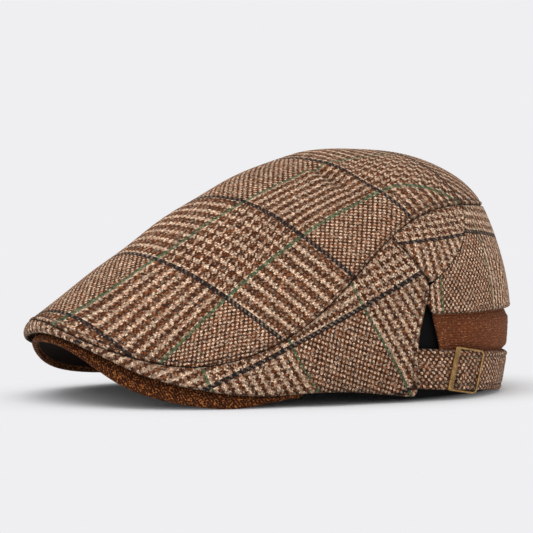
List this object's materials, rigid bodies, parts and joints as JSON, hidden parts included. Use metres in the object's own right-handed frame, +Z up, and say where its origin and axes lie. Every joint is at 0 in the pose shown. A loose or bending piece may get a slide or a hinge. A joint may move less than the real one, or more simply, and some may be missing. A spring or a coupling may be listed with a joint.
{
  "type": "flat cap",
  "caption": "Checked tweed flat cap with a stiff turned-down peak, a domed pieced crown, a hollow lining and a buckled back strap over an elastic insert.",
  "frame": {"origin": "centre of the bounding box at the surface the cap lies on", "axes": "+Z up, -Y towards the peak at the front, +X towards the wearer's left"},
  "size_m": [0.1796, 0.2745, 0.133],
  "materials": {
    "tweed": "brown and cream checked wool tweed",
    "twill": "rust brown twill",
    "lining": "near-black lining",
    "elastic": "brown brushed elastic",
    "brass": "antique, lightly tooled"
  },
  "bodies": {
    "root": {"crown_top": "tweed", "side_band": "tweed", "gusset_left": "tweed", "gusset_right": "tweed", "back_panel": "tweed", "peak": "twill", "lining": "lining", "inner_band": "elastic", "back_strap": "tweed", "buckle": "brass"}
  },
  "joints": []
}
